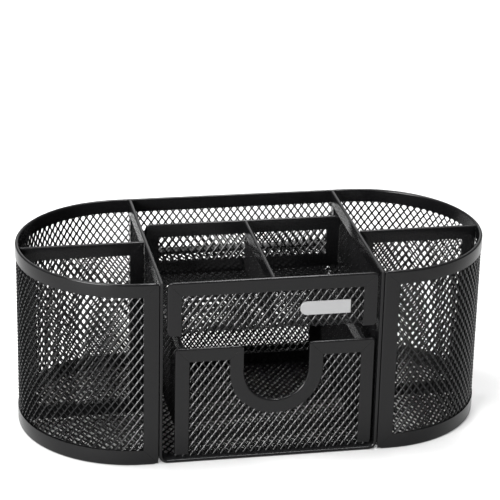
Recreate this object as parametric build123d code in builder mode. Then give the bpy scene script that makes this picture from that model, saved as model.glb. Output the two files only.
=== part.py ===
from build123d import *
import os

# Oval desk organizer of expanded steel mesh with folded steel edging and a pull-out note drawer.
# Millimetres. The origin is the middle of the footprint on the desk; +X is right, +Y is back and
# +Z is up, so the drawer pulls out towards -Y.

os.makedirs("parts", exist_ok=True)

# Overall size. The plan is a stadium: straight front and back, half-round ends.
LENGTH = 237.0
DEPTH = 114.0
HEIGHT = 96.5
END_RADIUS = DEPTH / 2
STRAIGHT = LENGTH - DEPTH

# Sheet. Each mesh panel is hemmed with a folded channel, one leg on each face of the mesh.
MESH = 1.0
LEG = 0.4
CHANNEL = MESH + 2 * LEG
BAND = 7.0
BASE_BAND = 8.0

# The bay between the two cups sits a little to the right of the middle.
BAY_X = 0.3

# The wall is open at the front, from one post to the other.
POST_EDGE = 55.0
POST_BAND = 7.7
POST_FOOT_CORNER = 3.0
POST_TOP_CORNER = 2.5

# The bay is lined with one sheet folded into a U, whose edging is welded to the posts.
LINER_HALF = POST_EDGE
LINER_BEND = 4.5
LINER_TRIM = 7.5
FRONT = -END_RADIUS
REAR = END_RADIUS - CHANNEL

# Cups. Each is split by one partition, a little forward of the middle.
CUP_FLOOR = 1.0
PARTITION_Y = -3.0
PARTITION_GAP = 0.1

# Tray above the drawer, welded between the dividers, a little to the right of the middle.
TRAY_LEFT = -51.2
TRAY_RIGHT = 52.3
TRAY_FLOOR = 68.5
TRAY_TOP = 96.2
TRAY_BACK = 18.8
TRAY_BACK_LEFT = -51.1
TRAY_BACK_RIGHT = 50.4
TRAY_BEND = 2.1
TRAY_FOOT_CORNER = 2.5
TRAY_TOP_CORNER = 3.0
TRAY_PARTITION_X = 0.8

# Slot behind the tray, with its own floor.
SLOT_FLOOR = 67.2
SLOT_GAP = 0.1

# Blank name plate on the tray's front.
PLATE_LEFT = 13.8
PLATE_LENGTH = 25.0
PLATE_HEIGHT = 7.1
PLATE_Z = 79.4

# Drawer. Its front is wider than its box and has a half-round finger notch.
DRAWER_LEFT = -46.9
DRAWER_RIGHT = 52.5
DRAWER_FRONT = -55.2
DRAWER_BOTTOM = 2.2
DRAWER_TOP = 60.5
DRAWER_CORNER = 1.8
FRONT_BANDS_BOTTOM = 3.6
NOTCH_X = 3.3
NOTCH_RADIUS = 16.1
NOTCH_CENTRE_Z = 46.6
NOTCH_CORNER = 2.0
BOX_LEFT = -43.0
BOX_RIGHT = 48.8
BOX_BACK = 46.0
BOX_TOP = 58.5
BOX_BEND = 3.0

SAME_PLACE = 0.01


def keep(piece, name):
    """Labels a finished piece and writes it to its own file."""
    piece.part.label = name
    export_step(piece.part, f"parts/{name}.step")


def upright(profile, front, depth):
    """Gives a front-view profile its depth, from the plane y = front backwards."""
    with BuildPart() as piece:
        with BuildSketch(Plane.XZ.offset(-front - depth)):
            add(profile)
        extrude(amount=depth)
    return piece.part


def level(profile, bottom, height):
    """Gives a plan profile its height, from the plane z = bottom upwards."""
    with BuildPart() as piece:
        with BuildSketch(Plane.XY.offset(bottom)):
            add(profile)
        extrude(amount=height)
    return piece.part


def panel(x0, x1, y0, y1):
    """Plain rectangle between two corners."""
    with BuildSketch() as profile:
        with Locations(((x0 + x1) / 2, (y0 + y1) / 2)):
            Rectangle(x1 - x0, y1 - y0)
    return profile.sketch


def hem(x0, x1, y0, y1):
    """Band of edging all round a rectangular panel."""
    with BuildSketch() as profile:
        add(panel(x0, x1, y0, y1))
        add(panel(x0 + BAND, x1 - BAND, y0 + BAND, y1 - BAND), mode=Mode.SUBTRACT)
    return profile.sketch


def folded_u(left, right, bottom, top, bend, thickness):
    """Front view of a sheet folded into a U, given by its outer faces and its outer bend radius."""
    with BuildSketch() as profile:
        with BuildLine():
            outer = FilletPolyline((left, top), (left, bottom), (right, bottom), (right, top), radius=bend)
            inner = FilletPolyline(
                (left + thickness, top),
                (left + thickness, bottom + thickness),
                (right - thickness, bottom + thickness),
                (right - thickness, top),
                radius=bend - thickness,
            )
            Line(outer @ 0, inner @ 0)
            Line(outer @ 1, inner @ 1)
        make_face()
    return profile.sketch


# ---- Outer wall: mesh, top rim, base rim and the two front posts ----


def wall_plan(inset, thickness, edge):
    """Plan of the wall: a stadium ring, left open at the front as far as edge to each side of the bay."""
    outer = END_RADIUS - inset
    with BuildSketch() as profile:
        SlotCenterToCenter(STRAIGHT, 2 * outer)
        SlotCenterToCenter(STRAIGHT, 2 * (outer - thickness), mode=Mode.SUBTRACT)
        add(panel(BAY_X - edge, BAY_X + edge, -DEPTH, 0), mode=Mode.SUBTRACT)
    return profile.sketch


def post_region(side):
    """Front view of a post, mitred into the bands above and below it."""
    edge = BAY_X + side * POST_EDGE
    outside = edge + side * POST_BAND
    with BuildSketch() as profile:
        Polygon((edge, 0), (edge, HEIGHT), (outside, HEIGHT - BAND), (outside, BASE_BAND), align=None)
    return upright(profile.sketch, FRONT, 2 * CHANNEL)


def corner_relief(side, level_z, inward, radius):
    """What a post's rounded corner leaves out, at the foot (inward 1) or at the top (inward -1)."""
    edge = BAY_X + side * POST_EDGE
    corner_x = edge + side * radius
    corner_z = level_z + inward * radius
    with BuildSketch() as profile:
        add(panel(*sorted((edge, corner_x)), *sorted((level_z, corner_z))))
        with Locations((corner_x, corner_z)):
            Circle(radius, mode=Mode.SUBTRACT)
    return upright(profile.sketch, FRONT, 2 * CHANNEL)


foot_reliefs = [corner_relief(side, 0, 1, POST_FOOT_CORNER) for side in (-1, 1)]
top_reliefs = [corner_relief(side, HEIGHT, -1, POST_TOP_CORNER) for side in (-1, 1)]
wall_ring = wall_plan(0, CHANNEL, POST_EDGE)

with BuildPart() as outer_wall_mesh:
    add(level(wall_plan(LEG, MESH, POST_EDGE + LEG), LEG, HEIGHT - 2 * LEG))
    for relief in foot_reliefs + top_reliefs:
        add(relief, mode=Mode.SUBTRACT)
keep(outer_wall_mesh, "outer_wall_mesh")

for name, bottom, band in (("outer_top_rim", HEIGHT - BAND, BAND), ("outer_bottom_rim", 0, BASE_BAND)):
    with BuildPart() as rim:
        add(level(wall_ring, bottom, band))
        for side in (-1, 1):
            add(post_region(side), mode=Mode.SUBTRACT)
        for relief in foot_reliefs + top_reliefs:
            add(relief, mode=Mode.SUBTRACT)
        add(outer_wall_mesh.part, mode=Mode.SUBTRACT)
    keep(rim, name)

for side, hand in ((-1, "left"), (1, "right")):
    with BuildPart() as post:
        add(level(wall_ring, 0, HEIGHT))
        add(post_region(side), mode=Mode.INTERSECT)
        for relief in foot_reliefs + top_reliefs:
            add(relief, mode=Mode.SUBTRACT)
        add(outer_wall_mesh.part, mode=Mode.SUBTRACT)
    keep(post, f"{hand}_front_post")

# ---- Cups: mesh floors and hemmed partitions ----

cup_inner = END_RADIUS - CHANNEL
for side, hand in ((-1, "left"), (1, "right")):
    near = BAY_X + side * (LINER_HALF + PARTITION_GAP)
    with BuildSketch() as floor_plan:
        SlotCenterToCenter(STRAIGHT, 2 * cup_inner)
        add(panel(*sorted((near, side * LENGTH)), -DEPTH, DEPTH), mode=Mode.INTERSECT)
    with BuildPart() as cup_floor:
        add(level(floor_plan.sketch, CUP_FLOOR, MESH))
    keep(cup_floor, f"{hand}_cup_floor")

    # The partition reaches the wall at its front face, where the curve is already drawing in.
    front_y = PARTITION_Y - CHANNEL / 2
    far = STRAIGHT / 2 + (cup_inner**2 - front_y**2) ** 0.5 - PARTITION_GAP
    x0, x1 = sorted((near, side * far))
    z0 = CUP_FLOOR + MESH
    with BuildPart() as partition_mesh:
        add(upright(panel(x0 + LEG, x1 - LEG, z0 + LEG, HEIGHT - LEG), PARTITION_Y - MESH / 2, MESH))
    keep(partition_mesh, f"{hand}_partition_mesh")
    with BuildPart() as partition_frame:
        add(upright(hem(x0, x1, z0, HEIGHT), front_y, CHANNEL))
        add(partition_mesh.part, mode=Mode.SUBTRACT)
    keep(partition_frame, f"{hand}_partition_frame")

# ---- Bay liner: left divider, floor and right divider in one folded sheet, and its edging ----

liner_left = BAY_X - LINER_HALF
liner_right = BAY_X + LINER_HALF
with BuildPart() as bay_liner_mesh:
    liner = folded_u(liner_left + LEG, liner_right - LEG, LEG, HEIGHT - LEG, LINER_BEND - LEG, MESH)
    add(upright(liner, FRONT + LEG, REAR - FRONT - 2 * LEG))
keep(bay_liner_mesh, "bay_liner_mesh")

liner_edge = folded_u(liner_left, liner_right, 0, HEIGHT, LINER_BEND, CHANNEL)


def divider_rim_region(side):
    """Side view of a divider's top rim, mitred into the upright edging at both its ends."""
    with BuildPart() as region:
        with BuildSketch(Plane.YZ.offset(BAY_X + side * LINER_HALF - CHANNEL)):
            Polygon(
                (FRONT, HEIGHT),
                (REAR, HEIGHT),
                (REAR - LINER_TRIM, HEIGHT - BAND),
                (FRONT + LINER_TRIM, HEIGHT - BAND),
                align=None,
            )
        extrude(amount=2 * CHANNEL)
    return region.part


for name, start in (("bay_front_trim", FRONT), ("bay_rear_trim", REAR - LINER_TRIM)):
    with BuildPart() as trim:
        add(upright(liner_edge, start, LINER_TRIM))
        for side in (-1, 1):
            add(divider_rim_region(side), mode=Mode.SUBTRACT)
        add(bay_liner_mesh.part, mode=Mode.SUBTRACT)
    keep(trim, name)

for side, hand in ((-1, "left"), (1, "right")):
    with BuildPart() as divider_rim:
        add(upright(liner_edge, FRONT, REAR - FRONT))
        add(divider_rim_region(side), mode=Mode.INTERSECT)
        add(bay_liner_mesh.part, mode=Mode.SUBTRACT)
    keep(divider_rim, f"{hand}_divider_rim")

# ---- Tray: front and floor in one folded sheet, hemmed back, partition and name plate ----

# The dividers close the tray's two ends. Seen from the side, the sheet is an L.
sheet_front = FRONT + LEG
sheet_top = TRAY_TOP - LEG
with BuildSketch() as sheet_view:
    add(panel(TRAY_LEFT + LEG, TRAY_RIGHT - LEG, TRAY_FLOOR, sheet_top))
    fillet(sheet_view.vertices().group_by(Axis.Y)[-1], TRAY_TOP_CORNER - LEG)

with BuildPart() as tray_sheet_mesh:
    with BuildSketch(Plane.YZ.offset(TRAY_LEFT)):
        with BuildLine():
            outer_fold = FilletPolyline(
                (sheet_front, sheet_top), (sheet_front, TRAY_FLOOR), (TRAY_BACK, TRAY_FLOOR), radius=TRAY_BEND
            )
            inner_fold = FilletPolyline(
                (sheet_front + MESH, sheet_top),
                (sheet_front + MESH, TRAY_FLOOR + MESH),
                (TRAY_BACK, TRAY_FLOOR + MESH),
                radius=TRAY_BEND - MESH,
            )
            Line(outer_fold @ 0, inner_fold @ 0)
            Line(outer_fold @ 1, inner_fold @ 1)
        make_face()
    extrude(amount=TRAY_RIGHT - TRAY_LEFT)
    add(upright(sheet_view.sketch, FRONT, TRAY_BACK - FRONT), mode=Mode.INTERSECT)
keep(tray_sheet_mesh, "tray_sheet_mesh")

with BuildPart() as tray_front_frame:
    with BuildSketch(Plane.XZ.offset(-FRONT - CHANNEL)) as frame_view:
        add(panel(TRAY_LEFT, TRAY_RIGHT, TRAY_FLOOR, TRAY_TOP))
        fillet(frame_view.vertices().group_by(Axis.Y)[0], TRAY_FOOT_CORNER)
        fillet(frame_view.vertices().group_by(Axis.Y)[-1], TRAY_TOP_CORNER)
        window = panel(TRAY_LEFT + BAND, TRAY_RIGHT - BAND, TRAY_FLOOR - BAND, TRAY_TOP - BAND)
        add(window, mode=Mode.SUBTRACT)
    extrude(amount=CHANNEL)
    add(tray_sheet_mesh.part, mode=Mode.SUBTRACT)
keep(tray_front_frame, "tray_front_frame")

with BuildPart() as tray_back_mesh:
    back_panel = panel(TRAY_BACK_LEFT + LEG, TRAY_BACK_RIGHT - LEG, TRAY_FLOOR + LEG, TRAY_TOP - LEG)
    add(upright(back_panel, TRAY_BACK + LEG, MESH))
keep(tray_back_mesh, "tray_back_mesh")

with BuildPart() as tray_back_frame:
    add(upright(hem(TRAY_BACK_LEFT, TRAY_BACK_RIGHT, TRAY_FLOOR, TRAY_TOP), TRAY_BACK, CHANNEL))
    add(tray_back_mesh.part, mode=Mode.SUBTRACT)
keep(tray_back_frame, "tray_back_frame")

rib_front = FRONT + CHANNEL
rib_depth = TRAY_BACK - rib_front
rib_left = TRAY_PARTITION_X - MESH / 2
rib_bottom = TRAY_FLOOR + MESH
with BuildPart() as tray_partition_mesh:
    add(upright(panel(rib_left, rib_left + MESH, rib_bottom, TRAY_TOP - LEG), rib_front, rib_depth))
    add(tray_sheet_mesh.part, mode=Mode.SUBTRACT)
keep(tray_partition_mesh, "tray_partition_mesh")

with BuildPart() as tray_partition_rim:
    rim_view = panel(rib_left - LEG, rib_left + MESH + LEG, TRAY_TOP - BAND, TRAY_TOP)
    add(upright(rim_view, rib_front, rib_depth))
    add(tray_partition_mesh.part, mode=Mode.SUBTRACT)
keep(tray_partition_rim, "tray_partition_rim")

# The plate has one half-round end and lies flat against the mesh of the tray's front.
with BuildPart() as badge_plate:
    with BuildSketch(Plane.XZ.offset(-FRONT - LEG)):
        round_x = PLATE_LEFT + PLATE_HEIGHT / 2
        half = PLATE_HEIGHT / 2
        add(panel(round_x, PLATE_LEFT + PLATE_LENGTH, PLATE_Z - half, PLATE_Z + half))
        with Locations((round_x, PLATE_Z)):
            Circle(half)
    extrude(amount=LEG)
keep(badge_plate, "badge_plate")

# ---- Slot behind the tray: a hemmed mesh floor ----

slot_left = liner_left + CHANNEL + SLOT_GAP
slot_right = liner_right - CHANNEL - SLOT_GAP
slot_front = TRAY_BACK + CHANNEL + SLOT_GAP
slot_back = REAR - SLOT_GAP
with BuildPart() as slot_floor_mesh:
    slot_panel = panel(slot_left + LEG, slot_right - LEG, slot_front + LEG, slot_back - LEG)
    add(level(slot_panel, SLOT_FLOOR + LEG, MESH))
keep(slot_floor_mesh, "slot_floor_mesh")

with BuildPart() as slot_floor_frame:
    add(level(hem(slot_left, slot_right, slot_front, slot_back), SLOT_FLOOR, CHANNEL))
    add(slot_floor_mesh.part, mode=Mode.SUBTRACT)
keep(slot_floor_frame, "slot_floor_frame")

# ---- Drawer: hemmed front with a finger notch, folded floor and sides, hemmed back ----


def notch(radius):
    """Front view of a U-shaped notch that is open at the top."""
    with BuildSketch() as profile:
        with Locations((NOTCH_X, NOTCH_CENTRE_Z)):
            Circle(radius)
        add(panel(NOTCH_X - radius, NOTCH_X + radius, NOTCH_CENTRE_Z, DRAWER_TOP + BAND))
    return profile.sketch


def notch_corners(sketch, radius, top):
    """The two sharp corners where a notch of this radius meets the top edge."""
    return [
        corner
        for corner in sketch.vertices()
        if abs(abs(corner.X - NOTCH_X) - radius) < SAME_PLACE and abs(corner.Y - top) < SAME_PLACE
    ]


with BuildSketch() as front_outline:
    add(panel(DRAWER_LEFT, DRAWER_RIGHT, FRONT_BANDS_BOTTOM, DRAWER_TOP))
    fillet(front_outline.vertices(), DRAWER_CORNER)
    add(notch(NOTCH_RADIUS), mode=Mode.SUBTRACT)
    fillet(notch_corners(front_outline, NOTCH_RADIUS, DRAWER_TOP), NOTCH_CORNER)

with BuildPart() as drawer_front_mesh:
    with BuildSketch(Plane.XZ.offset(-DRAWER_FRONT - LEG - MESH)) as mesh_view:
        add(panel(DRAWER_LEFT + LEG, DRAWER_RIGHT - LEG, DRAWER_BOTTOM, DRAWER_TOP - LEG))
        fillet(mesh_view.vertices(), DRAWER_CORNER - LEG)
        add(notch(NOTCH_RADIUS + LEG), mode=Mode.SUBTRACT)
        mesh_corners = notch_corners(mesh_view, NOTCH_RADIUS + LEG, DRAWER_TOP - LEG)
        fillet(mesh_corners, NOTCH_CORNER - LEG)
    extrude(amount=MESH)
keep(drawer_front_mesh, "drawer_front_mesh")

# The notch trim is mitred into the top bands: its outline leans out by one band on each side.
with BuildSketch() as trim_region:
    add(notch(NOTCH_RADIUS + BAND))
    lean = NOTCH_RADIUS + BAND
    Polygon(
        (NOTCH_X - lean, DRAWER_TOP),
        (NOTCH_X - NOTCH_RADIUS, DRAWER_TOP),
        (NOTCH_X - lean, DRAWER_TOP - BAND),
        align=None,
        mode=Mode.SUBTRACT,
    )
    Polygon(
        (NOTCH_X + lean, DRAWER_TOP),
        (NOTCH_X + NOTCH_RADIUS, DRAWER_TOP),
        (NOTCH_X + lean, DRAWER_TOP - BAND),
        align=None,
        mode=Mode.SUBTRACT,
    )

with BuildPart() as drawer_front_frame:
    with BuildSketch(Plane.XZ.offset(-DRAWER_FRONT - CHANNEL)):
        add(front_outline.sketch)
        window = panel(DRAWER_LEFT + BAND, DRAWER_RIGHT - BAND, 0, DRAWER_TOP - BAND)
        add(window, mode=Mode.SUBTRACT)
        add(trim_region.sketch, mode=Mode.SUBTRACT)
    extrude(amount=CHANNEL)
    add(drawer_front_mesh.part, mode=Mode.SUBTRACT)
keep(drawer_front_frame, "drawer_front_frame")

with BuildPart() as drawer_notch_trim:
    with BuildSketch(Plane.XZ.offset(-DRAWER_FRONT - CHANNEL)):
        add(front_outline.sketch)
        add(trim_region.sketch, mode=Mode.INTERSECT)
    extrude(amount=CHANNEL)
    add(drawer_front_mesh.part, mode=Mode.SUBTRACT)
keep(drawer_notch_trim, "drawer_notch_trim")

box_front = DRAWER_FRONT + CHANNEL
box_depth = BOX_BACK - CHANNEL - box_front
with BuildPart() as drawer_pan_mesh:
    box = folded_u(BOX_LEFT + LEG, BOX_RIGHT - LEG, DRAWER_BOTTOM, BOX_TOP - LEG, BOX_BEND, MESH)
    add(upright(box, box_front, box_depth))
keep(drawer_pan_mesh, "drawer_pan_mesh")

for x0, hand in ((BOX_LEFT, "left"), (BOX_RIGHT - CHANNEL, "right")):
    with BuildPart() as drawer_rim:
        add(upright(panel(x0, x0 + CHANNEL, BOX_TOP - BAND, BOX_TOP), box_front, box_depth))
        add(drawer_pan_mesh.part, mode=Mode.SUBTRACT)
    keep(drawer_rim, f"drawer_{hand}_rim")

back_front = BOX_BACK - CHANNEL
with BuildPart() as drawer_back_mesh:
    box_end = panel(BOX_LEFT + LEG, BOX_RIGHT - LEG, DRAWER_BOTTOM + LEG, BOX_TOP - LEG)
    add(upright(box_end, back_front + LEG, MESH))
keep(drawer_back_mesh, "drawer_back_mesh")

with BuildPart() as drawer_back_frame:
    add(upright(hem(BOX_LEFT, BOX_RIGHT, DRAWER_BOTTOM, BOX_TOP), back_front, CHANNEL))
    add(drawer_back_mesh.part, mode=Mode.SUBTRACT)
keep(drawer_back_frame, "drawer_back_frame")
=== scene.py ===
import bmesh
import bpy
from math import cos, pi, radians, sin, sqrt
from mathutils import Matrix, Vector


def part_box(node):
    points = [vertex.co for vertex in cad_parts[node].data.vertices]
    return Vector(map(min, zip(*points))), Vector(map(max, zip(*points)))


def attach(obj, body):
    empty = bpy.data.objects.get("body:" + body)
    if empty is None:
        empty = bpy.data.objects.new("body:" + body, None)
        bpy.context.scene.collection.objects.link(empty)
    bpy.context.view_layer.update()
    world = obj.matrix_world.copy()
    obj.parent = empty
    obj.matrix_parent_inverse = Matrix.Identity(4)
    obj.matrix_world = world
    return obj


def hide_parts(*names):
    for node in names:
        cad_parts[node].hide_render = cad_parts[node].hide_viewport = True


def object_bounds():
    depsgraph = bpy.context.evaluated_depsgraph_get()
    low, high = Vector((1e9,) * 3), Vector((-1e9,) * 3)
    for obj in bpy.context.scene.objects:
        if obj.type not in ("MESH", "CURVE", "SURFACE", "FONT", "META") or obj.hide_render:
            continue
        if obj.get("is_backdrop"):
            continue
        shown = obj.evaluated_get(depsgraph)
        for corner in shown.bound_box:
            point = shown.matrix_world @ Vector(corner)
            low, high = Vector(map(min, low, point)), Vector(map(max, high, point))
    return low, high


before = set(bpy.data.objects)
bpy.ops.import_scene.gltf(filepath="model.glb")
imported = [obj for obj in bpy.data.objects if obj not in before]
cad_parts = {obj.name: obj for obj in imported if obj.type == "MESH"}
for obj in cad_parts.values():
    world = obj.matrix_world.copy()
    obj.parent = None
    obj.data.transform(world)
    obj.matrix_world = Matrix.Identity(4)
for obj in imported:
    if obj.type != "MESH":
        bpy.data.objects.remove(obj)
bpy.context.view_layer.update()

# ---- Outer wall mesh ----
# One sheet of expanded steel, slit and stretched into diamonds, bent round the left end, the back and
# the right end. Its strands keep the twist that the stretching gives them. Black powder coat.

# Sizes are in millimetres. A diamond's left corner stands out by STRAND_TWIST, and its right one in.
MM = 0.001
DIAMOND_SHORT = 3.85
DIAMOND_LONG = 5.4
STRAND = 0.78
STRAND_TWIST = 0.6
STRAND_GAUGE = 0.4
STRAND_CROWN = 0.32
SHEET_HALF = 0.5
LEG = 0.4
COAT_BLACK = (0.003, 0.003, 0.0032, 1)
COAT_ROUGHNESS = 0.22
COAT_SPECULAR = 0.2
PEEL_SHARE = 0.25
GLOSS_DRIFT = 0.16
GLOSS_GRAIN = 0.10
# Faces that point up more than this get the lighter tone: dust, and a painted highlight of the light from
# above.
DUST_AND_HIGHLIGHT_STARTS = 0.55
CREASE_ANGLE = radians(35)
ROUNDED_ANGLE = radians(40)


def box_mm(node):
    """Lowest and highest corner of a CAD node, in millimetres."""
    low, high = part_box(node)
    return low / MM, high / MM


def expanded_sheet(width, height):
    """Flat sheet from the origin to (width, height), open, with its diamonds' long way along Y."""
    bm = bmesh.new()
    columns = max(1, round(width / DIAMOND_SHORT))
    rows = max(1, round(height / DIAMOND_LONG))
    bmesh.ops.create_grid(bm, x_segments=columns, y_segments=rows, size=0.5)
    bmesh.ops.translate(bm, vec=(0.5, 0.5, 0), verts=bm.verts)
    bmesh.ops.scale(bm, vec=(width, height, 1), verts=bm.verts)
    # Poked cells lose their old edges, so that each diamond lies across one of them.
    old_edges = [edge for edge in bm.edges if not edge.is_boundary]
    bmesh.ops.poke(bm, faces=bm.faces[:])
    bmesh.ops.dissolve_edges(bm, edges=old_edges, use_verts=False)
    holes = bm.faces[:]
    bmesh.ops.inset_individual(bm, faces=holes, thickness=STRAND / 2, use_even_offset=True)
    for hole in holes:
        middle = hole.calc_center_median().x
        for vert in hole.verts:
            vert.co.z += STRAND_TWIST * (middle - vert.co.x) / (DIAMOND_SHORT / 2)
    bmesh.ops.delete(bm, geom=holes, context="FACES")
    bmesh.ops.translate(bm, vec=(0, 0, STRAND_GAUGE / 2), verts=bm.verts)
    # The sheet's UV counts cells, so that the knots lie at whole numbers and halfway between them.
    lattice = bm.loops.layers.uv.new("lattice")
    for face in bm.faces:
        for loop in face.loops:
            loop[lattice].uv = (loop.vert.co.x * columns / width, loop.vert.co.y * rows / height)
    return bm


def bend(bm, start, heading, runs):
    """Bends a sheet along its X. runs are (length, turn to the left); the result lies in (a, b, old Y)."""
    for vert in bm.verts:
        along, across = vert.co.x, vert.co.z
        place, way = start.copy(), heading.copy()
        for length, turn in runs:
            step = min(along, length)
            if turn:
                radius = length / turn
                centre = place + way.orthogonal() * radius
                swing = Matrix.Rotation(turn * step / length, 2)
                place = centre + swing @ (place - centre)
                way = swing @ way
            else:
                place = place + way * step
            along -= step
            if along <= 0:
                break
        out = Vector((way.y, -way.x))
        vert.co.x, vert.co.y, vert.co.z = *(place + out * across), vert.co.y


def maths(tree, operation, *values):
    """Adds a maths node to a node tree. Each value is a number or another node's output."""
    node = tree.nodes.new("ShaderNodeMath")
    node.operation = operation
    for socket, value in zip(node.inputs, values):
        if isinstance(value, (int, float)):
            socket.default_value = value
        else:
            tree.links.new(value, socket)
    return node.outputs[0]


def powder_grain():
    """Node group for what all powder-coated steel shares: orange peel, cloudy gloss, and on ledges dust with
    a painted highlight.
    """
    group = bpy.data.node_groups.new("powder_grain", "ShaderNodeTree")
    face = group.interface
    face.new_socket("Tone", in_out="INPUT", socket_type="NodeSocketColor")
    face.new_socket("Dust And Highlight Tone", in_out="INPUT", socket_type="NodeSocketColor")
    face.new_socket("Gloss", in_out="INPUT", socket_type="NodeSocketFloat")
    face.new_socket("Color", in_out="OUTPUT", socket_type="NodeSocketColor")
    face.new_socket("Roughness", in_out="OUTPUT", socket_type="NodeSocketFloat")
    face.new_socket("Height", in_out="OUTPUT", socket_type="NodeSocketFloat")
    nodes, links = group.nodes, group.links
    given = nodes.new("NodeGroupInput")
    result = nodes.new("NodeGroupOutput")
    where = nodes.new("ShaderNodeTexCoord")

    def noise(scale, detail):
        node = nodes.new("ShaderNodeTexNoise")
        node.inputs["Scale"].default_value = scale
        node.inputs["Detail"].default_value = detail
        links.new(where.outputs["Object"], node.inputs["Vector"])
        return node.outputs["Fac"]

    def about_zero(value, amount):
        """Noise from 0 to 1 as a change of this size, up or down."""
        return maths(group, "MULTIPLY", maths(group, "SUBTRACT", value, 0.5), amount)

    # Orange peel about 0.4 mm across, over slower ripples in the thin steel.
    peel = noise(scale=2600, detail=2)
    ripple = noise(scale=90, detail=1)
    peel_height = maths(group, "MULTIPLY", peel, PEEL_SHARE)
    links.new(maths(group, "ADD", peel_height, ripple), result.inputs["Height"])
    # The gloss drifts over about 10 mm and has a fine grain.
    drift = about_zero(noise(scale=110, detail=3), GLOSS_DRIFT)
    change = maths(group, "ADD", drift, about_zero(peel, GLOSS_GRAIN))
    links.new(maths(group, "ADD", given.outputs["Gloss"], change), result.inputs["Roughness"])
    # Upward faces hold a thin, uneven film of dust. They are also painted lighter there, as a painted
    # highlight of the light from above.
    facing = nodes.new("ShaderNodeNewGeometry")
    split = nodes.new("ShaderNodeSeparateXYZ")
    links.new(facing.outputs["Normal"], split.inputs[0])
    upward = nodes.new("ShaderNodeMapRange")
    upward.inputs["From Min"].default_value = DUST_AND_HIGHLIGHT_STARTS
    upward.inputs["From Max"].default_value = 1.0
    links.new(split.outputs["Z"], upward.inputs["Value"])
    dust_and_highlight = maths(group, "MULTIPLY", upward.outputs["Result"], noise(scale=420, detail=4))
    mix = nodes.new("ShaderNodeMix")
    mix.data_type = "RGBA"
    links.new(dust_and_highlight, mix.inputs["Factor"])
    links.new(given.outputs["Tone"], mix.inputs["A"])
    links.new(given.outputs["Dust And Highlight Tone"], mix.inputs["B"])
    links.new(mix.outputs["Result"], result.inputs["Color"])
    return group


grain_group = powder_grain()


def powder_coat(name, dust_and_highlight_tone, bump):
    """Black powder coat on steel. Its second tone is its colour on upward faces: dust there, and a painted
    highlight of the light from above.
    """
    material = bpy.data.materials.new(name)
    material.use_nodes = True
    nodes, links = material.node_tree.nodes, material.node_tree.links
    shader = nodes["Principled BSDF"]
    coat = nodes.new("ShaderNodeGroup")
    coat.node_tree = grain_group
    coat.inputs["Tone"].default_value = COAT_BLACK
    coat.inputs["Dust And Highlight Tone"].default_value = dust_and_highlight_tone
    coat.inputs["Gloss"].default_value = COAT_ROUGHNESS
    relief = nodes.new("ShaderNodeBump")
    relief.inputs["Distance"].default_value = bump
    links.new(coat.outputs["Color"], shader.inputs["Base Color"])
    links.new(coat.outputs["Roughness"], shader.inputs["Roughness"])
    links.new(coat.outputs["Height"], relief.inputs["Height"])
    links.new(relief.outputs["Normal"], shader.inputs["Normal"])
    shader.inputs["Specular IOR Level"].default_value = COAT_SPECULAR
    return material


def round_strands(material, crown):
    """Rounds the strands' faces by this height, along the sheet's own lattice."""
    tree = material.node_tree
    nodes, links = tree.nodes, tree.links
    relief = next(node for node in nodes if node.type == "BUMP")
    cells = nodes.new("ShaderNodeUVMap")
    cells.uv_map = "lattice"
    split = nodes.new("ShaderNodeSeparateXYZ")
    links.new(cells.outputs["UV"], split.inputs[0])
    # Strands of one slant run along whole values of u + v, and the others along whole values of u - v.
    ridges = []
    for operation in ("ADD", "SUBTRACT"):
        count = maths(tree, operation, split.outputs["X"], split.outputs["Y"])
        ridges.append(maths(tree, "COSINE", maths(tree, "MULTIPLY", count, 2 * pi)))
    form = nodes.new("ShaderNodeBump")
    form.inputs["Distance"].default_value = crown
    links.new(maths(tree, "MAXIMUM", *ridges), form.inputs["Height"])
    links.new(form.outputs["Normal"], relief.inputs["Normal"])


# The mesh's lighter tone on upward faces is dust and a painted highlight of the light from above.
mesh_coat = powder_coat("black_mesh_coat", dust_and_highlight_tone=(0.008, 0.008, 0.0083, 1), bump=0.00002)
round_strands(mesh_coat, STRAND_CROWN * MM)


def finish_piece(bm, name, material, body, rounding=0.0):
    """Makes the object from a bmesh in millimetres; it stands for the CAD node of the same name."""
    for face in bm.faces:
        face.smooth = True
    for edge in bm.edges:
        edge.smooth = edge.is_manifold and edge.calc_face_angle() < CREASE_ANGLE
    bmesh.ops.scale(bm, vec=(MM, MM, MM), verts=bm.verts)
    mesh = bpy.data.meshes.new(name)
    bm.to_mesh(mesh)
    bm.free()
    mesh.materials.append(material)
    piece = bpy.data.objects.new("shown_" + name, mesh)
    bpy.context.scene.collection.objects.link(piece)
    if rounding:
        bevel = piece.modifiers.new("soft_edges", "BEVEL")
        bevel.width = rounding * MM
        bevel.segments = 2
        bevel.limit_method = "ANGLE"
        bevel.angle_limit = ROUNDED_ANGLE
    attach(piece, body)
    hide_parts(name)
    return piece


def thicken_mesh(bm):
    """Gives the open strands their gauge, inwards from the outer face."""
    bmesh.ops.solidify(bm, geom=bm.faces[:], thickness=STRAND_GAUGE)


wall_low, wall_high = box_mm("outer_wall_mesh")
right_edge = box_mm("right_front_post")[0].x
left_edge = box_mm("left_front_post")[1].x
wall_radius = (wall_high.y - wall_low.y) / 2 - SHEET_HALF
end_centre = wall_high.x - SHEET_HALF - wall_radius
wall_start = right_edge + LEG
half_turn = pi * wall_radius
wall_runs = [
    (end_centre - wall_start, 0), (half_turn, pi), (2 * end_centre, 0), (half_turn, pi),
    (end_centre + left_edge - LEG, 0),
]
bm = expanded_sheet(sum(length for length, turn in wall_runs), wall_high.z - wall_low.z)
bend(bm, Vector((wall_start, -wall_radius)), Vector((1, 0)), wall_runs)
bmesh.ops.translate(bm, vec=(0, 0, wall_low.z), verts=bm.verts)
thicken_mesh(bm)
finish_piece(bm, "outer_wall_mesh", mesh_coat, "organizer")

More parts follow.
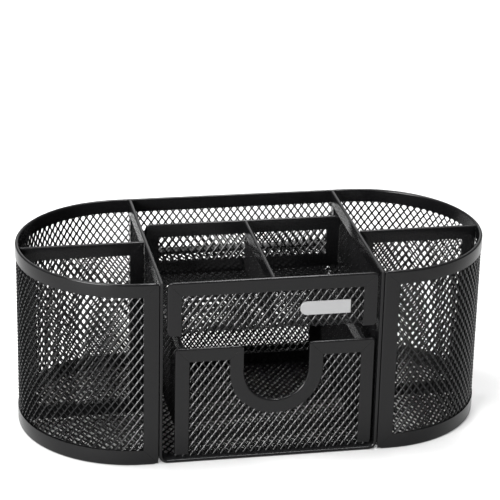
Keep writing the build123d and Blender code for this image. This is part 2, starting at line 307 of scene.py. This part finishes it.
# ---- Outer wall rims and front posts ----
# Strips of sheet steel folded over the mesh edges, one leg on each face, with mitred corners. They are
# spot-welded through the mesh and carry a smoother black powder coat.

STEEL = 0.4
SEAM = 0.03
FOLD_RADIUS = 0.88
FOLD_STEPS = 4
EDGE_ROUNDING = 0.1
END_STEPS = 40
CORNER_CUTS = (0.35, 0.7, 1.0)
CORNER_REACH = 8
CUT_SLACK = 1.01

# The rims' lighter tone on upward faces is dust and a painted highlight of their lit tops.
rim_coat = powder_coat("black_rim_coat", dust_and_highlight_tone=(0.014, 0.014, 0.0147, 1), bump=0.00003)


def edging(bm, corner, inward, across, band, thick, moves):
    """Sweeps one strip of edging. A move is a vector, to go straight, or (centre, axis, angle, steps)."""
    known_edges, known_faces = set(bm.edges), set(bm.faces)
    half = across * thick / 2
    points = (corner + inward * band + half, corner + half, corner - half, corner + inward * band - half)
    verts = [bm.verts.new(point) for point in points]
    for pair in zip(verts, verts[1:]):
        bm.edges.new(pair)
    folds = verts[1:3]
    bmesh.ops.bevel(
        bm, geom=folds, offset=FOLD_RADIUS, segments=FOLD_STEPS, affect="VERTICES", profile=0.5, material=-1
    )
    edges = [edge for edge in bm.edges if edge not in known_edges]
    for move in moves:
        if isinstance(move, Vector):
            grown = bmesh.ops.extrude_edge_only(bm, edges=edges)["geom"]
            ends = {item for item in grown if isinstance(item, bmesh.types.BMVert)}
            bmesh.ops.translate(bm, vec=move, verts=list(ends))
        else:
            centre, axis, angle, steps = move
            spun = bmesh.ops.spin(bm, geom=edges, cent=centre, axis=axis, angle=angle, steps=steps)
            grown = spun["geom_last"]
            ends = {item for item in grown if isinstance(item, bmesh.types.BMVert)}
        edges = [e for e in grown if isinstance(e, bmesh.types.BMEdge) and ends.issuperset(e.verts)]
    faces = [face for face in bm.faces if face not in known_faces]
    bmesh.ops.recalc_face_normals(bm, faces=faces)
    if verts[0].link_faces[0].normal.dot(across) < 0:
        bmesh.ops.reverse_faces(bm, faces=faces)
    return faces


def around(faces):
    """Faces with their edges and corners, as the cutting operators want them."""
    edges = {edge for face in faces for edge in face.edges}
    verts = {vert for face in faces for vert in face.verts}
    return list(verts) + list(edges) + list(faces)


def mitre(bm, faces, corner, inner, across, keep):
    """Cuts faces along the line from corner to inner, and keeps the side that keep points to."""
    normal = (inner - corner).cross(across).normalized()
    if normal.dot(keep) > 0:
        normal.negate()
    bmesh.ops.bisect_plane(
        bm, geom=around(faces), plane_co=corner - normal * SEAM, plane_no=normal, clear_outer=True
    )


def ease_corner(bm, corner, inward_x, inward_z, radius):
    """Rounds an outer corner of a frame in front view: the square corner is drawn in to a quarter circle."""

    def is_near(point):
        return (point - corner).length < CORNER_REACH * radius

    for part in CORNER_CUTS:
        for axis, sign in ((0, inward_x), (2, inward_z)):
            point, normal = corner.copy(), Vector((0, 0, 0))
            point[axis] += sign * radius * part
            normal[axis] = 1
            near = [face for face in bm.faces if any(is_near(vert.co) for vert in face.verts)]
            bmesh.ops.bisect_plane(bm, geom=around(near), plane_co=point, plane_no=normal)
    centre = corner + Vector((inward_x * radius, 0, inward_z * radius))
    for vert in bm.verts:
        u = (centre.x - vert.co.x) * inward_x / radius
        w = (centre.z - vert.co.z) * inward_z / radius
        if is_near(vert.co) and 0 < u < CUT_SLACK and 0 < w < CUT_SLACK:
            vert.co.x = centre.x - inward_x * radius * u * sqrt(1 - w * w / 2)
            vert.co.z = centre.z - inward_z * radius * w * sqrt(1 - u * u / 2)


def fold_steel(bm):
    """Gives the strips the thickness of the sheet steel, inwards."""
    bmesh.ops.solidify(bm, geom=bm.faces[:], thickness=STEEL)


UP = Vector((0, 0, 1))
BACK = Vector((0, 1, 0))
RIGHT = Vector((1, 0, 0))
POST_FOOT_CORNER = 3.0
POST_TOP_CORNER = 2.5

post_low, post_high = box_mm("right_front_post")
channel = 2 * LEG + 2 * SHEET_HALF
middle_y = post_low.y + channel / 2
post_band = post_high.x - post_low.x
edges_x = {-1: left_edge, 1: right_edge}
rim_turn = (Vector((end_centre, 0, 0)), UP, pi, END_STEPS)
left_turn = (Vector((-end_centre, 0, 0)), UP, pi, END_STEPS)
top_low, top_high = box_mm("outer_top_rim")
base_low, base_high = box_mm("outer_bottom_rim")
rim_height, base_height = top_high.z - top_low.z, base_high.z - base_low.z
rims = (
    ("outer_top_rim", top_high.z, -UP, rim_height, POST_TOP_CORNER),
    ("outer_bottom_rim", base_low.z, UP, base_height, POST_FOOT_CORNER),
)
right_run, left_run = RIGHT * (end_centre - right_edge), RIGHT * (end_centre + left_edge)
rim_moves = (right_run, rim_turn, RIGHT * (-2 * end_centre), left_turn, left_run)
for name, fold_z, inward, band, radius in rims:
    bm = bmesh.new()
    start = Vector((right_edge, middle_y, fold_z))
    edging(bm, start, inward, -BACK, band, channel, rim_moves)
    for side in (-1, 1):
        corner = Vector((edges_x[side], middle_y, fold_z))
        inner = corner + RIGHT * side * post_band + inward * band
        front_end = [
            face for face in bm.faces
            if face.calc_center_median().y < middle_y + 2 * channel and face.calc_center_median().x * side > 0
        ]
        mitre(bm, front_end, corner, inner, BACK, RIGHT * side)
        ease_corner(bm, corner, side, inward.z, radius)
    fold_steel(bm)
    finish_piece(bm, name, rim_coat, "organizer", EDGE_ROUNDING)

for side, hand in ((-1, "left"), (1, "right")):
    bm = bmesh.new()
    top = Vector((edges_x[side], middle_y, top_high.z))
    foot = Vector((edges_x[side], middle_y, base_low.z))
    edging(bm, foot, RIGHT * side, -BACK, post_band, channel, [top - foot])
    mitre(bm, bm.faces[:], top, top + RIGHT * side * post_band - UP * rim_height, BACK, -UP)
    mitre(bm, bm.faces[:], foot, foot + RIGHT * side * post_band + UP * base_height, BACK, UP)
    ease_corner(bm, foot, side, 1, POST_FOOT_CORNER)
    ease_corner(bm, top, side, -1, POST_TOP_CORNER)
    fold_steel(bm)
    finish_piece(bm, f"{hand}_front_post", rim_coat, "organizer", EDGE_ROUNDING)

# ---- Cup floors ----
# Half-round pieces of the same expanded mesh, trimmed to the wall's curve and spot-welded all round
# to the inside of the base rim.

TRIM_CUTS = 24

for side, hand in ((-1, "left"), (1, "right")):
    low, high = box_mm(f"{hand}_cup_floor")
    bm = expanded_sheet(high.x - low.x, high.y - low.y)
    bmesh.ops.translate(bm, vec=(low.x, low.y, (low.z + high.z) / 2), verts=bm.verts)
    floor_radius = (high.y - low.y) / 2
    for step in range(TRIM_CUTS + 1):
        angle = pi * (step / TRIM_CUTS - 0.5)
        out = Vector((side * cos(angle), sin(angle), 0))
        rim_point = Vector((side * end_centre, 0, 0)) + out * floor_radius
        bmesh.ops.bisect_plane(
            bm, geom=around(bm.faces), plane_co=rim_point, plane_no=out, clear_outer=True
        )
    thicken_mesh(bm)
    finish_piece(bm, f"{hand}_cup_floor", mesh_coat, "organizer")

# ---- Cup partitions ----
# A flat mesh panel across each cup, hemmed all round with four mitred lengths of edging and welded
# between the divider and the outer wall.

BAND = 7.0


def straight_edging(bm, start, end, inward, across, band, thick, start_cut=None, end_cut=None):
    """Adds one straight length of edging. A cut is the way from the outer corner to the inner corner."""
    strip = bmesh.new()
    edging(strip, start, inward, across, band, thick, [end - start])
    if start_cut:
        mitre(strip, strip.faces[:], start, start + start_cut, across, end - start)
    if end_cut:
        mitre(strip, strip.faces[:], end, end + end_cut, across, start - end)
    spare = bpy.data.meshes.new("strip")
    strip.to_mesh(spare)
    strip.free()
    bm.from_mesh(spare)
    bpy.data.meshes.remove(spare)


def hem(name, along, up, body, corner_radius=0.0):
    """Edging all round a flat panel that lies along two directions, in the place of its CAD node."""
    low, high = box_mm(name)
    out = along.cross(up)
    middle, half = (low + high) / 2, (high - low) / 2
    reach_along, reach_up, thick = (abs(way.dot(half)) for way in (along, up, out))
    corners = [
        middle + along * sign_along * reach_along + up * sign_up * reach_up
        for sign_along, sign_up in ((-1, -1), (1, -1), (1, 1), (-1, 1))
    ]
    bm = bmesh.new()
    for index, start in enumerate(corners):
        end = corners[(index + 1) % 4]
        way = (end - start).normalized()
        inward = out.cross(way)
        straight_edging(
            bm, start, end, inward, out, BAND, 2 * thick, (way + inward) * BAND, (inward - way) * BAND
        )
    if corner_radius:
        ease_corner(bm, corners[2], -1, -1, corner_radius)
        ease_corner(bm, corners[3], 1, -1, corner_radius)
    fold_steel(bm)
    finish_piece(bm, name, rim_coat, body, EDGE_ROUNDING)


def clip_corner(bm, corner, inward, reach):
    """Snips an open sheet's corner at 45 degrees. reach is the length of the snipped sides."""
    bmesh.ops.bisect_plane(
        bm, geom=around(bm.faces), plane_co=corner + inward * reach / 2, plane_no=-inward, clear_outer=True
    )


def flat_mesh(name, along, up, body, cut=None, snip=0.0):
    """Flat expanded sheet that lies along two directions, in the place of its CAD node."""
    low, high = box_mm(name)
    out = along.cross(up)
    middle, half = (low + high) / 2, (high - low) / 2
    width, height = (2 * abs(way.dot(half)) for way in (along, up))
    bm = expanded_sheet(width, height)
    corner = middle - along * width / 2 - up * height / 2
    placed = Matrix((along, up, out)).transposed().to_4x4()
    bmesh.ops.transform(bm, matrix=Matrix.Translation(corner) @ placed, verts=bm.verts)
    if cut:
        spare = [face for face in bm.faces if cut(face.calc_center_median())]
        bmesh.ops.delete(bm, geom=spare, context="FACES")
    if snip:
        clip_corner(bm, corner + up * height, along - up, snip)
        clip_corner(bm, corner + up * height + along * width, -along - up, snip)
    thicken_mesh(bm)
    finish_piece(bm, name, mesh_coat, body)


for hand in ("left", "right"):
    flat_mesh(f"{hand}_partition_mesh", RIGHT, UP, "organizer")
    hem(f"{hand}_partition_frame", RIGHT, UP, "organizer")

# ---- Bay liner ----
# One mesh sheet folded into a U makes both dividers and the floor of the bay. Edging runs down, under
# and up along its front and rear edges, mitred to the rims on the dividers' tops.

LINER_BEND = 3.6
BEND_STEPS = 8


def folded_mesh(name, bend_radius, body):
    """Expanded sheet folded into a U seen from the front, in the place of its CAD node."""
    low, high = box_mm(name)
    left, right, bottom = low.x + SHEET_HALF, high.x - SHEET_HALF, low.z + SHEET_HALF
    rise, span = high.z - bottom - bend_radius, right - left - 2 * bend_radius
    quarter = (bend_radius * pi / 2, pi / 2)
    runs = [(rise, 0), quarter, (span, 0), quarter, (rise, 0)]
    bm = expanded_sheet(sum(length for length, turn in runs), high.y - low.y)
    bend(bm, Vector((left, high.z)), Vector((0, -1)), runs)
    # The bend left each point as (x, z, old Y), and old Y now runs forwards from the rear.
    stood = Matrix(((1, 0, 0, 0), (0, 0, -1, high.y), (0, 1, 0, 0), (0, 0, 0, 1)))
    bmesh.ops.transform(bm, matrix=stood, verts=bm.verts)
    thicken_mesh(bm)
    finish_piece(bm, name, mesh_coat, body)


folded_mesh("bay_liner_mesh", LINER_BEND, "organizer")

low, high = box_mm("bay_front_trim")
trim_band = high.y - low.y
for name, into_bay in (("bay_front_trim", BACK), ("bay_rear_trim", -BACK)):
    low, high = box_mm(name)
    fold_y = low.y if into_bay is BACK else high.y
    bay_x, edge_x = (low.x + high.x) / 2, (high.x - low.x - channel) / 2
    turn_z = low.z + channel / 2 + LINER_BEND
    turns = [
        (Vector((bay_x + side * (edge_x - LINER_BEND), 0, turn_z)), -BACK, pi / 2, BEND_STEPS)
        for side in (-1, 1)
    ]
    drop = UP * (high.z - turn_z)
    span = RIGHT * 2 * (edge_x - LINER_BEND)
    bm = bmesh.new()
    start = Vector((bay_x - edge_x, fold_y, high.z))
    edging(bm, start, into_bay, -RIGHT, trim_band, channel, (-drop, turns[0], span, turns[1], drop))
    for side in (-1, 1):
        corner = Vector((bay_x + side * edge_x, fold_y, high.z))
        arm = [face for face in bm.faces if (face.calc_center_median().x - bay_x) * side > edge_x - channel]
        mitre(bm, arm, corner, corner + into_bay * trim_band - UP * BAND, RIGHT, -UP)
    fold_steel(bm)
    finish_piece(bm, name, rim_coat, "organizer", EDGE_ROUNDING)

for hand in ("left", "right"):
    low, high = box_mm(f"{hand}_divider_rim")
    start = Vector(((low.x + high.x) / 2, low.y, high.z))
    end = Vector((start.x, high.y, high.z))
    bm = bmesh.new()
    front_cut, rear_cut = BACK * trim_band - UP * BAND, -BACK * trim_band - UP * BAND
    straight_edging(bm, start, end, -UP, RIGHT, BAND, channel, front_cut, rear_cut)
    fold_steel(bm)
    finish_piece(bm, f"{hand}_divider_rim", rim_coat, "organizer", EDGE_ROUNDING)

# ---- Tray ----
# A shallow mesh tray over the drawer: one sheet folded into front and floor, a frame on the front that
# has no band along its foot, a hemmed back and a partition. The dividers close its two ends.

TRAY_BEND = 1.6
TRAY_FOOT_CORNER = 2.5
TRAY_TOP_CORNER = 3.0

low, high = box_mm("tray_sheet_mesh")
front_y, floor_z = low.y + SHEET_HALF, low.z + SHEET_HALF
front_rise = high.z - floor_z - TRAY_BEND
floor_run = high.y - front_y - TRAY_BEND
runs = [(front_rise, 0), (TRAY_BEND * pi / 2, pi / 2), (floor_run, 0)]
flat_length = sum(length for length, turn in runs)
bm = expanded_sheet(high.x - low.x, flat_length)
# The diamonds' long way runs down the front and back along the floor, so the flat sheet is turned
# before it is bent.
quarter_turn = Matrix.Translation((flat_length, 0, 0)) @ Matrix.Rotation(pi / 2, 4, "Z")
bmesh.ops.transform(bm, matrix=quarter_turn, verts=bm.verts)
bend(bm, Vector((front_y, high.z)), Vector((0, -1)), runs)
stood = Matrix(((0, 0, 1, low.x), (1, 0, 0, 0), (0, 1, 0, 0), (0, 0, 0, 1)))
bmesh.ops.transform(bm, matrix=stood, verts=bm.verts)
clip_corner(bm, Vector((low.x, low.y, high.z)), RIGHT - UP, TRAY_TOP_CORNER)
clip_corner(bm, Vector((high.x, low.y, high.z)), -RIGHT - UP, TRAY_TOP_CORNER)
thicken_mesh(bm)
finish_piece(bm, "tray_sheet_mesh", mesh_coat, "organizer")

low, high = box_mm("tray_front_frame")
plane_y = (low.y + high.y) / 2
foot_left, foot_right = Vector((low.x, plane_y, low.z)), Vector((high.x, plane_y, low.z))
top_left, top_right = Vector((low.x, plane_y, high.z)), Vector((high.x, plane_y, high.z))
left_cut, right_cut = (RIGHT - UP) * BAND, (-RIGHT - UP) * BAND
bm = bmesh.new()
straight_edging(bm, foot_left, top_left, RIGHT, -BACK, BAND, channel, None, left_cut)
straight_edging(bm, top_left, top_right, -UP, -BACK, BAND, channel, left_cut, right_cut)
straight_edging(bm, top_right, foot_right, -RIGHT, -BACK, BAND, channel, right_cut, None)
ease_corner(bm, foot_left, 1, 1, TRAY_FOOT_CORNER)
ease_corner(bm, foot_right, -1, 1, TRAY_FOOT_CORNER)
ease_corner(bm, top_left, 1, -1, TRAY_TOP_CORNER)
ease_corner(bm, top_right, -1, -1, TRAY_TOP_CORNER)
fold_steel(bm)
finish_piece(bm, "tray_front_frame", rim_coat, "organizer", EDGE_ROUNDING)


def side_rim(name, body):
    """Edging along the top of a wall that runs front to back."""
    low, high = box_mm(name)
    start = Vector(((low.x + high.x) / 2, low.y, high.z))
    bm = bmesh.new()
    straight_edging(bm, start, start + BACK * (high.y - low.y), -UP, RIGHT, high.z - low.z, channel)
    fold_steel(bm)
    finish_piece(bm, name, rim_coat, body, EDGE_ROUNDING)


flat_mesh("tray_back_mesh", RIGHT, UP, "organizer", snip=TRAY_TOP_CORNER)
hem("tray_back_frame", RIGHT, UP, "organizer", TRAY_TOP_CORNER)
flat_mesh("tray_partition_mesh", -BACK, UP, "organizer")
side_rim("tray_partition_rim", "organizer")

# ---- Name plate ----
# A thin stamped plate with one half-round end, riveted flat to the tray's front mesh and left blank.
# Satin silver, with the fine lines of brushing along its length.

PLATE_EDGE = 0.12
PLATE_END_STEPS = 12
SAME_PLACE = 0.01
BRUSH_SCALE = (150, 6000, 9000)
BRUSHED_TONES = ((0.25, 0.25, 0.255, 1), (0.31, 0.31, 0.31, 1))
BRUSHED_ROUGHNESS = (0.34, 0.5)
PLATE_METALLIC = 0.55

plate_silver = bpy.data.materials.new("satin_silver")
plate_silver.use_nodes = True
nodes, links = plate_silver.node_tree.nodes, plate_silver.node_tree.links
shader = nodes["Principled BSDF"]
where = nodes.new("ShaderNodeTexCoord")
stretch = nodes.new("ShaderNodeMapping")
stretch.inputs["Scale"].default_value = BRUSH_SCALE
brushed = nodes.new("ShaderNodeTexNoise")
brushed.inputs["Scale"].default_value = 1.0
brushed.inputs["Detail"].default_value = 3
links.new(where.outputs["Object"], stretch.inputs["Vector"])
links.new(stretch.outputs["Vector"], brushed.inputs["Vector"])
tone = nodes.new("ShaderNodeMix")
tone.data_type = "RGBA"
tone.inputs["A"].default_value, tone.inputs["B"].default_value = BRUSHED_TONES
links.new(brushed.outputs["Fac"], tone.inputs["Factor"])
links.new(tone.outputs["Result"], shader.inputs["Base Color"])
gloss = nodes.new("ShaderNodeMapRange")
gloss.inputs["To Min"].default_value, gloss.inputs["To Max"].default_value = BRUSHED_ROUGHNESS
links.new(brushed.outputs["Fac"], gloss.inputs["Value"])
links.new(gloss.outputs["Result"], shader.inputs["Roughness"])
shader.inputs["Metallic"].default_value = PLATE_METALLIC

low, high = box_mm("badge_plate")
length, height, plate_gauge = high.x - low.x, high.z - low.z, high.y - low.y
bm = bmesh.new()
bmesh.ops.create_grid(bm, x_segments=1, y_segments=1, size=0.5)
bmesh.ops.scale(bm, vec=(length, height, 1), verts=bm.verts)
left_corners = [vert for vert in bm.verts if vert.co.x < 0]
bmesh.ops.bevel(
    bm, geom=left_corners, offset=height / 2, segments=PLATE_END_STEPS,
    affect="VERTICES", profile=0.5, material=-1,
)
bmesh.ops.remove_doubles(bm, verts=bm.verts, dist=SAME_PLACE)
plate_placed = Matrix.Translation(((low.x + high.x) / 2, low.y, (low.z + high.z) / 2))
bmesh.ops.transform(bm, matrix=plate_placed @ Matrix.Rotation(pi / 2, 4, "X"), verts=bm.verts)
bmesh.ops.solidify(bm, geom=bm.faces[:], thickness=plate_gauge)
finish_piece(bm, "badge_plate", plate_silver, "organizer", PLATE_EDGE)

# ---- Slot floor ----
# Mesh floor of the slot behind the tray, hemmed all round and welded to the dividers and the wall.

flat_mesh("slot_floor_mesh", RIGHT, BACK, "organizer")
hem("slot_floor_frame", RIGHT, BACK, "organizer")

# ---- Drawer front ----
# A mesh panel framed at its sides and top, with a half-round finger notch in a curved piece of edging
# that is mitred to the two short top bands.

DRAWER_CORNER = 1.8
NOTCH_CORNER = 2.0
NOTCH_STEPS = 28
NOTCH_TUCK = 2.0

trim_low, trim_high = box_mm("drawer_notch_trim")
trim_reach = (trim_high.x - trim_low.x) / 2
notch_radius = trim_reach - BAND
notch_centre = Vector(((trim_low.x + trim_high.x) / 2, 0, trim_low.z + trim_reach))


def in_notch(point):
    """Where the mesh is cut away: inside the notch and the first of its edging."""
    tuck = notch_radius + NOTCH_TUCK
    across, above = point.x - notch_centre.x, point.z - notch_centre.z
    if above > 0:
        return abs(across) < tuck
    return across**2 + above**2 < tuck**2


flat_mesh("drawer_front_mesh", RIGHT, UP, "drawer", in_notch)

low, high = box_mm("drawer_front_frame")
plane_y = (low.y + high.y) / 2
foot_left, foot_right = Vector((low.x, plane_y, low.z)), Vector((high.x, plane_y, low.z))
top_left, top_right = Vector((low.x, plane_y, high.z)), Vector((high.x, plane_y, high.z))
notch_left = Vector((notch_centre.x - notch_radius, plane_y, high.z))
notch_right = Vector((notch_centre.x + notch_radius, plane_y, high.z))
bm = bmesh.new()
straight_edging(bm, foot_left, top_left, RIGHT, -BACK, BAND, channel, None, left_cut)
straight_edging(bm, top_left, notch_left, -UP, -BACK, BAND, channel, left_cut, right_cut)
straight_edging(bm, notch_right, top_right, -UP, -BACK, BAND, channel, left_cut, right_cut)
straight_edging(bm, top_right, foot_right, -RIGHT, -BACK, BAND, channel, right_cut, None)
for corner, inward_x, inward_z in (
    (foot_left, 1, 1), (foot_right, -1, 1), (top_left, 1, -1), (top_right, -1, -1)
):
    ease_corner(bm, corner, inward_x, inward_z, DRAWER_CORNER)
ease_corner(bm, notch_left, -1, -1, NOTCH_CORNER)
ease_corner(bm, notch_right, 1, -1, NOTCH_CORNER)
fold_steel(bm)
finish_piece(bm, "drawer_front_frame", rim_coat, "drawer", EDGE_ROUNDING)

bm = bmesh.new()
drop = UP * (high.z - notch_centre.z)
notch_turn = (Vector((notch_centre.x, 0, notch_centre.z)), -BACK, pi, NOTCH_STEPS)
edging(bm, notch_left, -RIGHT, -BACK, BAND, channel, (-drop, notch_turn, drop))
for corner, cut, side in ((notch_left, right_cut, -1), (notch_right, left_cut, 1)):
    arm = [face for face in bm.faces if (face.calc_center_median().x - notch_centre.x) * side > 0]
    arm = [face for face in arm if face.calc_center_median().z > notch_centre.z]
    mitre(bm, arm, corner, corner + cut, BACK, -UP)
    ease_corner(bm, corner, side, -1, NOTCH_CORNER)
fold_steel(bm)
finish_piece(bm, "drawer_notch_trim", rim_coat, "drawer", EDGE_ROUNDING)

# ---- Drawer box ----
# Behind the front, one mesh sheet folded into floor and sides, rims on the sides and a hemmed back.
# It slides on the bay floor without rails.

DRAWER_BEND = 2.1

folded_mesh("drawer_pan_mesh", DRAWER_BEND, "drawer")
side_rim("drawer_left_rim", "drawer")
side_rim("drawer_right_rim", "drawer")
flat_mesh("drawer_back_mesh", RIGHT, UP, "drawer")
hem("drawer_back_frame", RIGHT, UP, "drawer")

# ---- Studio ----
# A pale floor under the organizer in a white room, with soft lights above, at the left and behind.

FLOOR_HALF = 6
FLOOR_TONE = (0.6, 0.6, 0.6, 1)
FLOOR_ROUGHNESS = 0.7
ROOM_STRENGTH = 0.35

floor_mesh = bpy.data.meshes.new("floor")
bm = bmesh.new()
bmesh.ops.create_grid(bm, x_segments=1, y_segments=1, size=FLOOR_HALF)
bm.to_mesh(floor_mesh)
bm.free()
floor = bpy.data.objects.new("floor", floor_mesh)
bpy.context.scene.collection.objects.link(floor)
paper = bpy.data.materials.new("pale_floor")
paper.use_nodes = True
shader = paper.node_tree.nodes["Principled BSDF"]
shader.inputs["Base Color"].default_value = FLOOR_TONE
shader.inputs["Roughness"].default_value = FLOOR_ROUGHNESS
floor_mesh.materials.append(paper)
floor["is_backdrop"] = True

room = bpy.data.worlds.new("white_room")
room.use_nodes = True
background = room.node_tree.nodes["Background"]
background.inputs["Color"].default_value = (1, 1, 1, 1)
background.inputs["Strength"].default_value = ROOM_STRENGTH
bpy.context.scene.world = room


def soft_light(name, place, aim, width, height, power):
    """Rectangular area light at place, turned to aim."""
    light = bpy.data.lights.new(name, "AREA")
    light.shape = "RECTANGLE"
    light.size = width
    light.size_y = height
    light.energy = power
    lamp = bpy.data.objects.new(name, light)
    lamp.location = place
    lamp.rotation_euler = (Vector(aim) - Vector(place)).to_track_quat("-Z", "Y").to_euler()
    bpy.context.scene.collection.objects.link(lamp)


object_middle = (0, 0, 0.05)
soft_light("top_strip", (0.27, 0.1, 1.5), (0.27, 0.1, 0), width=0.26, height=1.3, power=26)
soft_light("top_left_softbox", (-0.42, 0.2, 1.45), object_middle, width=0.4, height=0.6, power=21)
soft_light("left_softbox", (-1.17, -1.09, 0.58), object_middle, width=0.9, height=0.5, power=60)
soft_light("back_softbox", (0.2, 2.0, 0.9), object_middle, width=1.2, height=1.2, power=4)

# The camera stands in front, a little to the left, and looks down on the organizer through a long lens.
CAMERA_PLACE = (-0.19381, -0.97796, 0.49608)
CAMERA_SIGHT = (0.17952, 0.90776, -0.37913)
CAMERA_UPRIGHT = (0.05057, 0.37637, 0.92509)
CAMERA_LENS = 153.81
CAMERA_SENSOR = 36

camera_data = bpy.data.cameras.new("camera")
camera_data.lens = CAMERA_LENS
camera_data.sensor_width = CAMERA_SENSOR
camera = bpy.data.objects.new("camera", camera_data)
sight, upright = Vector(CAMERA_SIGHT).normalized(), Vector(CAMERA_UPRIGHT).normalized()
across_view = sight.cross(upright).normalized()
turned = Matrix((across_view, upright, -sight)).transposed().to_4x4()
camera.matrix_world = Matrix.Translation(CAMERA_PLACE) @ turned
bpy.context.scene.collection.objects.link(camera)
bpy.context.scene.camera = camera
bpy.context.scene.view_settings.view_transform = "Standard"

low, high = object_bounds()
